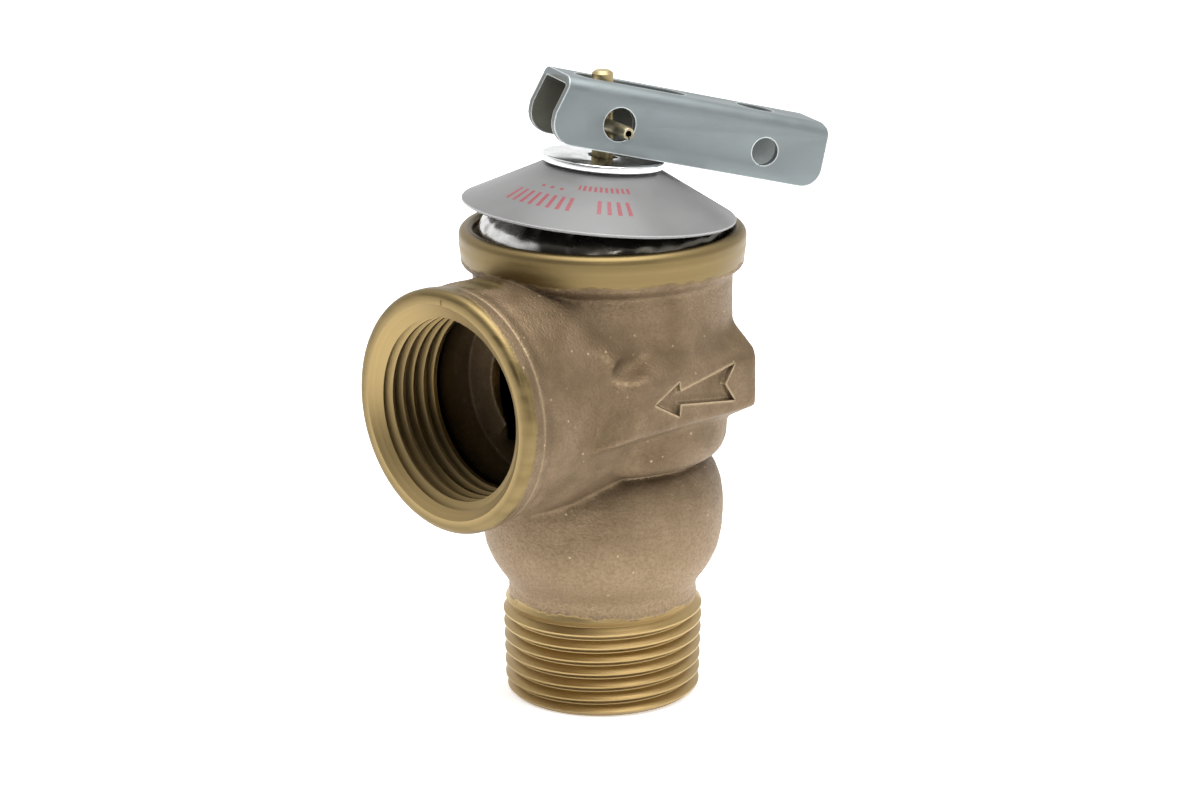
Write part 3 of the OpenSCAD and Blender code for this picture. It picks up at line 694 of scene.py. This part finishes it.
def printed_grey():
    """Satin grey paint, bare at the cut edge, with two bands of red print round the cone."""
    material, tree, shader = new_material("printed_grey", metallic=0.0)
    own = node(tree, "ShaderNodeTexCoord").outputs["Object"]
    level = node(tree, "ShaderNodeMapping", {"Vector": own, "Location": (0, 0, -rock_z * METRE)}).outputs[0]
    level = node(tree, "ShaderNodeMapping", {"Vector": level, "Rotation": (0, 0, -lever_turn)}).outputs[0]
    level = node(tree, "ShaderNodeMapping", {"Vector": level, "Rotation": (0, -tip, 0)}).outputs[0]
    parts = node(tree, "ShaderNodeSeparateXYZ", {"Vector": level}).outputs
    angle = maths(tree, "ARCTAN2", parts["Y"], parts["X"])
    radius = maths(tree, "SQRT", maths(tree, "ADD", maths(tree, "MULTIPLY", parts["X"], parts["X"]),
        maths(tree, "MULTIPLY", parts["Y"], parts["Y"])))
    grain = effect(tree, surface_grain, {"Vector": own, "Grain": 3200.0, "Blotch": 120.0})
    edges_and_corners = effect(tree, wear_grime_and_painted_light, {"Reach": 0.002, "Edge": 0.00025})

    def band(middle, half, strokes, start, end, thin):
        """A row of strokes between two radii and two angles; every few strokes one is left out."""
        off = maths(tree, "ABSOLUTE", maths(tree, "SUBTRACT", radius, middle * METRE))
        row = stepped(tree, off, (half + 0.06) * METRE, (half - 0.06) * METRE)
        turns = maths(tree, "MULTIPLY", angle, strokes / full_turn)
        stroke = maths(tree, "ABSOLUTE", maths(tree, "SUBTRACT", maths(tree, "FRACT", turns), 0.5))
        mark = stepped(tree, stroke, thin, thin - 0.06)
        cell = node(tree, "ShaderNodeTexWhiteNoise", {"W": maths(tree, "FLOOR", turns)},
            noise_dimensions="1D")
        kept = stepped(tree, cell.outputs["Value"], 0.07, 0.08)
        centre = (start + end) / 2
        away = maths(tree, "ABSOLUTE", maths(tree, "SUBTRACT", angle, centre))
        within = stepped(tree, away, (end - start) / 2, (end - start) / 2 - 0.02)
        made = maths(tree, "MULTIPLY", row, mark)
        made = maths(tree, "MULTIPLY", made, kept)
        return maths(tree, "MULTIPLY", made, within)

    facing = math.radians(-45.4) - lever_turn
    big = band(13.4, 1.2, 66, facing - 1.05, facing + 0.36, 0.24)
    small = band(10.2, 0.45, 92, facing - 0.30, facing + 0.50, 0.30)
    dots = band(10.9, 0.20, 48, facing - 1.1, facing - 0.45, 0.22)
    ink = maths(tree, "MAXIMUM", maths(tree, "MAXIMUM", big, small), dots)
    upward = node(tree, "ShaderNodeSeparateXYZ", {"Vector": node(tree,
        "ShaderNodeNewGeometry").outputs["Normal"]})
    ink = maths(tree, "MULTIPLY", ink, stepped(tree, upward.outputs["Z"], 0.2, 0.4))
    patchy = stepped(tree, grain["Height"], 0.25, 0.6, 0.70, 1.0)
    paint = mixed(tree, grain["Blotches"], (0.128, 0.127, 0.126, 1), (0.146, 0.146, 0.145, 1))
    paint = mixed(tree, maths(tree, "MULTIPLY", edges_and_corners["Grime"], 0.3), paint, (0.17, 0.165, 0.16, 1))
    paint = mixed(tree, maths(tree, "MULTIPLY", ink, patchy), paint, (0.20, 0.022, 0.032, 1))
    paint = mixed(tree, maths(tree, "MULTIPLY", edges_and_corners["Wear_and_sheen"], 0.8), paint, (0.70, 0.70, 0.70, 1))
    tree.links.new(paint, shader["Base Color"])
    tree.links.new(stepped(tree, grain["Blotches"], 0, 1, 0.38, 0.5), shader["Roughness"])
    bumped(tree, shader, grain["Height"], 0.00002)
    return material


finished(shaped(plate), "cone_nameplate", "cap", "grey_nameplate", printed_grey(), stands_for=["nameplate"])

# Lever washer: a thick stamped steel washer, barrelled until its edges are round and then plated
# nearly to a mirror. It lies loose on the nameplate, and the lever's nose bears on it.
washer_r = 8.0
washer_low = plate_top + 0.02
washer_t = 1.0
washer_edge = 0.22
washer_hole = 1.95
washer = turned(arc(washer_hole + washer_edge, washer_low + washer_edge, washer_edge, 180, 270, 4)
    + arc(washer_r - washer_edge, washer_low + washer_edge, washer_edge, 270, 360, 5)
    + arc(washer_r - washer_edge, washer_low + washer_t - washer_edge, washer_edge, 0, 90, 5)
    + arc(washer_hole + washer_edge, washer_low + washer_t - washer_edge, washer_edge, 90, 180, 4),
    segments=192)
bmesh.ops.transform(washer, matrix=tipped, verts=washer.verts)
finished(shaped(washer), "bright_washer", "cap", "plated_steel",
         bright_plate("bright_washer_plate", tint=(0.74, 0.75, 0.76), waves=0.00001, rough=0.12),
         stands_for=["lever_washer"])

# Stem: a turned brass rod with a chamfered end, cross-drilled for the pin and grooved at its foot for
# the clip that lifts the disc holder. It is painted olive brown between bright spots, as shade from the lever
# around it.
stem_r = 1.4
stem_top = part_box("stem")[1].z / METRE
pin_z = hinge["pos_m"][2] / METRE - 0.75
groove_z = 49.15
pin_r = 0.9
pin_slew = math.radians(6)
stem = shaped(turned([(0, 48.4), (1.2, 48.4), (stem_r, 48.7), (stem_r, groove_z), (1.1, groove_z),
    (1.1, groove_z + 0.7), (stem_r, groove_z + 0.7), (stem_r, stem_top - 0.4),
    (stem_r - 0.08, stem_top - 0.28),
    (stem_r - 0.42, stem_top), (0, stem_top)], segments=64))


def along_pin(bm):
    """Lays a shape made about Z along the pin's axis."""
    lay = (Matrix.Translation((0, 0, pin_z)) @ Matrix.Rotation(lever_turn - math.pi / 2 + pin_slew, 4, "Z")
           @ Matrix.Rotation(math.pi / 2, 4, "Y"))
    bmesh.ops.transform(bm, matrix=lay, verts=bm.verts)
    return bm


combined(stem, "DIFFERENCE", along_pin(turned([(0, -3), (pin_r + 0.02, -3), (pin_r + 0.02, 3), (0, 3)],
    segments=32)))
# Darker olive brass and far-reaching corner darkening: painted shade inside the lever
finished(stem, "turned_stem", "stem", "brass", turned_brass("olive_stem_brass", (0.31, 0.26, 0.14),
    (0.46, 0.39, 0.215), dull=0.12, reach=0.009), stands_for=["stem"])

# Lever pin: a spring pin rolled from steel strip, with its long slot and chamfered ends. It is driven
# through the stem, and both flanges of the lever hang on it in holes much wider than the pin.
pin_near = 7.4
pin_far = 6.2
pin_bore = 0.45
slot_half = math.radians(14)
pin = bmesh.new()
wall = [(pin_bore, -pin_far + 0.05), (pin_r - 0.2, -pin_far), (pin_r, -pin_far + 0.35),
        (pin_r, pin_near - 0.35), (pin_r - 0.2, pin_near), (pin_bore, pin_near - 0.05)]
pin.faces.new([pin.verts.new((r, 0, z)) for r, z in wall])
bmesh.ops.rotate(pin, verts=pin.verts, cent=(0, 0, 0), matrix=Matrix.Rotation(slot_half, 3, "Z"))
bmesh.ops.spin(pin, geom=pin.verts[:] + pin.edges[:] + pin.faces[:], axis=(0, 0, 1), cent=(0, 0, 0),
               angle=full_turn - 2 * slot_half, steps=40, use_duplicate=False)
bmesh.ops.remove_doubles(pin, verts=pin.verts, dist=1e-4)
bmesh.ops.recalc_face_normals(pin, faces=pin.faces)
# The pin is coloured dark olive with far-reaching corner darkening: painted shade inside the lever's holes
finished(shaped(along_pin(pin)), "rolled_pin", "stem", "spring_steel",
         turned_brass("shaded_pin_steel", (0.14, 0.135, 0.10), (0.23, 0.22, 0.165), dull=0.05, reach=0.009),
         stands_for=["lever_pin"])

# Lever: steel sheet blanked, pierced and folded to an upturned U, then zinc plated with a bluish
# satin passivate. Its round nose lifts the stem against the washer; the cut edges have stayed bright.
lever_t = 1.1
lever_w = 9.75
lever_up = 4.9
lever_down = 3.8
reach = 29.7
nose_r = 2.95
end_r = 2.7
bend_r = 1.6
bend_inner = 0.5
end_x = reach - end_r
outline = ([(-7.95, lever_up), (-8.0, 3.6), (-8.95, 0)] + arc(-6, nose_r - lever_down, nose_r, 176, 270, 10)
    + arc(end_x, end_r - lever_down, end_r, 270, 360, 10)
    + [(reach - 0.15, 3.6), (reach - 0.4, 4.35), (reach - 0.95, lever_up)])


def extruded(points, start, end, axis):
    """A plate with the given outline, from one distance to another along an axis."""
    bm = bmesh.new()
    place = {
        "X": lambda a, b: (start, a, b),
        "Y": lambda a, b: (a, start, b),
        "Z": lambda a, b: (a, b, start)}[axis]
    face = bm.faces.new([bm.verts.new(place(a, b)) for a, b in points])
    pulled = bmesh.ops.extrude_face_region(bm, geom=[face])["geom"]
    travel = Vector([end - start if letter == axis else 0 for letter in "XYZ"])
    bmesh.ops.translate(bm, verts=[v for v in pulled if isinstance(v, bmesh.types.BMVert)], vec=travel)
    bmesh.ops.recalc_face_normals(bm, faces=bm.faces)
    return bm


half_w = lever_w / 2
inner_w = half_w - lever_t
section = ([(-half_w, -10)] + arc(-half_w + bend_r, lever_up - bend_r, bend_r, 180, 90, 8)
    + arc(half_w - bend_r, lever_up - bend_r, bend_r, 90, 0, 8) + [(half_w, -10), (inner_w, -10)]
    + arc(inner_w - bend_inner, lever_up - lever_t - bend_inner, bend_inner, 0, 90, 5)
    + arc(bend_inner - inner_w, lever_up - lever_t - bend_inner, bend_inner, 90, 180, 5) + [(-inner_w, -10)])
lever = shaped(extruded(section, -12, 38, "X"))
combined(lever, "INTERSECT", extruded(outline, -8, 8, "Y"))
slot_r = 2.1
slot = [(x, y) for x, y in arc(8.0, 0, slot_r, -90, 90, 14) + arc(-3.4, 0, slot_r, 90, 270, 14)]
combined(lever, "DIFFERENCE",
         extruded(arc(0, 0, 2.2, 0, 352.5, 47), -8, 8, "Y"),
         extruded(arc(21, -0.1, 1.85, 0, 350, 35), -8, 8, "Y"),
         extruded(arc(20.4, 0, 2.5, 0, 351, 39), 0, 8, "Z"),
         extruded(slot, 0, 8, "Z"))
sheared = bmesh.new()
sheared.from_mesh(lever.data)
bmesh.ops.remove_doubles(sheared, verts=sheared.verts, dist=1e-4)
bmesh.ops.dissolve_limit(sheared, angle_limit=math.radians(1), verts=sheared.verts, edges=sheared.edges)
corners = [e for e in sheared.edges if e.is_manifold and e.calc_face_angle(0) > math.radians(45)]
bmesh.ops.bevel(sheared, geom=corners, offset=0.13, offset_type="OFFSET", segments=3, profile=0.5,
    affect="EDGES",
                clamp_overlap=True, material=-1)
# Inner faces of the channel get a mask for painted shade, strongest near the pivot end
inside_shade = sheared.verts.layers.float.new("inside_shade")
for v in sheared.verts:
    inside = abs(v.co.y) < inner_w + 0.01 and v.co.z < lever_up - lever_t + 0.01
    v[inside_shade] = float(inside) * min(1.0, max(0.3, 1 - (v.co.x - 4) / 14))
droop = math.radians(13.7)
hung = (Matrix.Translation(Vector(hinge["pos_m"]) / METRE) @ Matrix.Rotation(lever_turn, 4, "Z")
        @ Matrix.Rotation(droop, 4, "Y"))
bmesh.ops.transform(sheared, matrix=hung, verts=sheared.verts)
sheared.to_mesh(lever.data)
sheared.free()


def zinc_plate():
    """Blue-white zinc: satin, faintly blotched, brighter on edges from wear, with its inside painted dull
    olive as shade.
    """
    material, tree, shader = new_material("zinc_plate")
    place = placed(tree)
    grain = effect(tree, surface_grain, {"Vector": place, "Grain": 2600.0, "Blotch": 210.0})
    edges_and_corners = effect(tree, wear_grime_and_painted_light, {"Reach": 0.006, "Edge": 0.0003})
    along = node(tree, "ShaderNodeMapping", {"Vector": placed(tree, turn=(0, 0, -lever_turn)),
        "Scale": (0.06, 1.0, 1.0)}).outputs[0]
    brushed = node(tree, "ShaderNodeTexNoise", {"Vector": along, "Scale": 2600.0,
        "Detail": 2.0}).outputs["Fac"]
    metal = mixed(tree, grain["Blotches"], (0.185, 0.210, 0.214, 1), (0.215, 0.238, 0.241, 1))
    metal = mixed(tree, maths(tree, "MULTIPLY", brushed, 0.25), metal, (0.19, 0.215, 0.22, 1))
    # Rare lighter flecks: painted glints
    metal = mixed(tree, maths(tree, "MULTIPLY", grain["Glint_flecks"], 0.18), metal, (0.22, 0.24, 0.24, 1))
    inside_shade = node(tree, "ShaderNodeAttribute", attribute_name="inside_shade").outputs["Fac"]
    # The inside of the channel is painted dark olive: painted shade
    metal = mixed(tree, maths(tree, "MULTIPLY", inside_shade, 0.8), metal, (0.11, 0.105, 0.078, 1))
    # Corners painted darker: painted shade, partly grime
    metal = mixed(tree, maths(tree, "MULTIPLY", edges_and_corners["Grime"], 0.4), metal, (0.09, 0.088, 0.066, 1))
    metal = mixed(tree, maths(tree, "MULTIPLY", edges_and_corners["Wear_and_sheen"], 0.75), metal, (0.86, 0.90, 0.92, 1))
    tree.links.new(metal, shader["Base Color"])
    tree.links.new(stepped(tree, grain["Blotches"], 0, 1, 0.50, 0.62), shader["Roughness"])
    height = maths(tree, "ADD", grain["Height"], maths(tree, "MULTIPLY", brushed, 0.6))
    bumped(tree, shader, height, 0.00002)
    return material


finished(lever, "folded_lever", "lever", "zinc_plated_steel", zinc_plate(), sharp=28, stands_for=["lever"])

# The valve stands on its inlet on a pale floor, in the even light of a white tent. One large lamp hangs
# over it, and two smaller ones stand to its right.
floor_mesh = bmesh.new()
bmesh.ops.create_grid(floor_mesh, x_segments=1, y_segments=1, size=6.0)
bmesh.ops.translate(floor_mesh, verts=floor_mesh.verts, vec=(0, 0, cad_low.z - 0.00002))
floor = shaped(floor_mesh, "floor")
floor_paint, tree, shader = new_material("floor_paint", metallic=0.0)
shade = node(tree, "ShaderNodeTexNoise", {"Vector": placed(tree), "Scale": 8.0, "Detail": 2.0}).outputs["Fac"]
tree.links.new(mixed(tree, shade, (0.93, 0.93, 0.93, 1), (0.95, 0.95, 0.95, 1)), shader["Base Color"])
shader["Roughness"].default_value = 0.9
shader["Emission Color"].default_value = (1, 1, 1, 1)
shader["Emission Strength"].default_value = 0.45
floor.data.materials.append(floor_paint)

world = bpy.data.worlds.new("tent")
world.use_nodes = True
sky = world.node_tree
sky_way = node(sky, "ShaderNodeTexCoord").outputs["Object"]
away = node(sky, "ShaderNodeVectorMath", {0: sky_way, 1: (-0.45, 0.62, 0.64)},
    operation="DOT_PRODUCT").outputs["Value"]
wash = stepped(sky, away, -0.55, 0.55)
colour = mixed(sky, wash, (0.05, 0.05, 0.05, 1), (1.15, 1.15, 1.15, 1))
sky.links.new(colour, sky.nodes["Background"].inputs["Color"])
sky.nodes["Background"].inputs["Strength"].default_value = 1.0
bpy.context.scene.world = world


def softbox(name, azimuth, elevation, distance, size, power, centre=(0, 0, 0.045)):
    """A square area lamp aimed at the valve; azimuth 0 stands at -Y and 90 at +X."""
    a, e = math.radians(azimuth), math.radians(elevation)
    back = Vector((math.sin(a) * math.cos(e), -math.cos(a) * math.cos(e), math.sin(e)))
    lamp = bpy.data.lights.new(name, "AREA")
    lamp.size = size
    lamp.energy = power
    holder = bpy.data.objects.new(name, lamp)
    holder.location = Vector(centre) + back * distance
    holder.rotation_euler = back.to_track_quat("Z", "Y").to_euler()
    bpy.context.scene.collection.objects.link(holder)


softbox("top_box", 60, 80, 0.7, 0.6, 7.5)
softbox("key_box", 47, 27, 0.7, 0.05, 0.35)
softbox("right_box", 100, 15, 0.7, 0.3, 0.4)

camera = bpy.data.cameras.new("camera")
camera.sensor_width = 36
camera.lens = 101.8
camera.shift_x = -0.0021
viewer = bpy.data.objects.new("camera", camera)
view_azimuth = math.radians(44.6)
view_elevation = math.radians(16.05)
look_at = Vector((0, 0, 0.040))
back = Vector((
    math.sin(view_azimuth) * math.cos(view_elevation),
    -math.cos(view_azimuth) * math.cos(view_elevation),
    math.sin(view_elevation)))
viewer.location = look_at + back * 0.45
viewer.rotation_euler = back.to_track_quat("Z", "Y").to_euler()
bpy.context.scene.collection.objects.link(viewer)
bpy.context.scene.camera = viewer
bpy.context.scene.view_settings.view_transform = "Standard"
